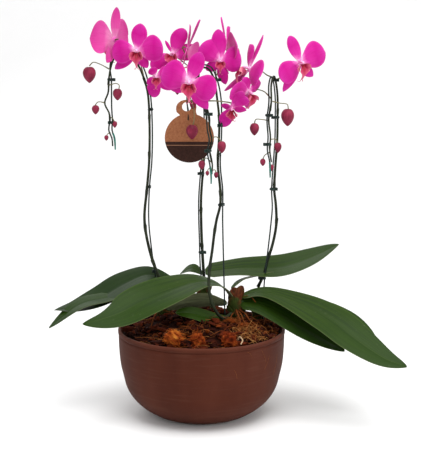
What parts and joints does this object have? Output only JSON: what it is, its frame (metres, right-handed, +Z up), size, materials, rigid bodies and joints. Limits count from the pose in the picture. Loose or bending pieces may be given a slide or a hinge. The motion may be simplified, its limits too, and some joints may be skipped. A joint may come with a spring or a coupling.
{
  "type": "potted orchid",
  "caption": "Round brown bowl planter holding moth orchids with arching wired flower spikes, magenta flowers, buds, strap leaves and a hanging card tag.",
  "frame": {"origin": "centre of the bowl's flat base, on the surface it stands on", "axes": "+Z up; -Y is the front, which the tag and most flowers face; +X is to the right seen from the front"},
  "size_m": [0.5831, 0.28, 0.6762],
  "materials": {
    "bowl": "matte dark reddish brown with faint brushed marks",
    "potting_mix": "loose coconut fibre and bark, matt",
    "husk_chip": "rough orange-brown husk, matt",
    "plant_stem": "sheathed green-brown stem, satin",
    "leaf": "waxy dark green, satin, paler underneath",
    "spike": "dark green stem with maroon buds, satin",
    "wire": "dark green coated steel wire",
    "clip": "dark green moulded plastic",
    "flower": "magenta pink petals with a paler middle and a deep red lip, soft sheen",
    "card": "plain kraft card with a dark lower band"
  },
  "bodies": {
    "root": {"bowl": "bowl", "clip_back_foot": "clip", "clip_back_top": "clip", "clip_front_arch": "clip", "clip_front_foot": "clip", "clip_front_hang": "clip", "clip_front_low": "clip", "clip_front_mid": "clip", "clip_front_tip": "clip", "clip_left_foot": "clip", "clip_left_hang": "clip", "clip_left_high": "clip", "clip_left_low": "clip", "clip_left_tip": "clip", "clip_right_arch": "clip", "clip_right_foot": "clip", "clip_right_hang": "clip", "clip_right_low": "clip", "clip_right_mid": "clip", "clip_right_tip": "clip", "crown_back": "plant_stem", "crown_front": "plant_stem", "crown_left": "plant_stem", "crown_right": "plant_stem", "flower_back_centre": "flower", "flower_back_left": "flower", "flower_centre_back": "flower", "flower_centre_front": "flower", "flower_centre_high": "flower", "flower_left_front": "flower", "flower_left_low": "flower", "flower_left_outer": "flower", "flower_right_inner": "flower", "flower_right_low": "flower", "flower_right_lowest": "flower", "flower_right_outer": "flower", "husk_chip_centre": "husk_chip", "husk_chip_left": "husk_chip", "husk_chip_right": "husk_chip", "leaf_back_left": "leaf", "leaf_back_right": "leaf", "leaf_front_left": "leaf", "leaf_front_right": "leaf", "leaf_inner_right": "leaf", "leaf_low_left": "leaf", "leaf_low_right": "leaf", "leaf_middle_right": "leaf", "leaf_small_back": "leaf", "leaf_small_front": "leaf", "leaf_small_left": "leaf", "potting_mix": "potting_mix", "spike_back": "spike", "spike_front": "spike", "spike_left": "spike", "spike_right": "spike", "tag": "card", "wire_back": "wire", "wire_front": "wire", "wire_left": "wire", "wire_right": "wire"}
  },
  "joints": []
}
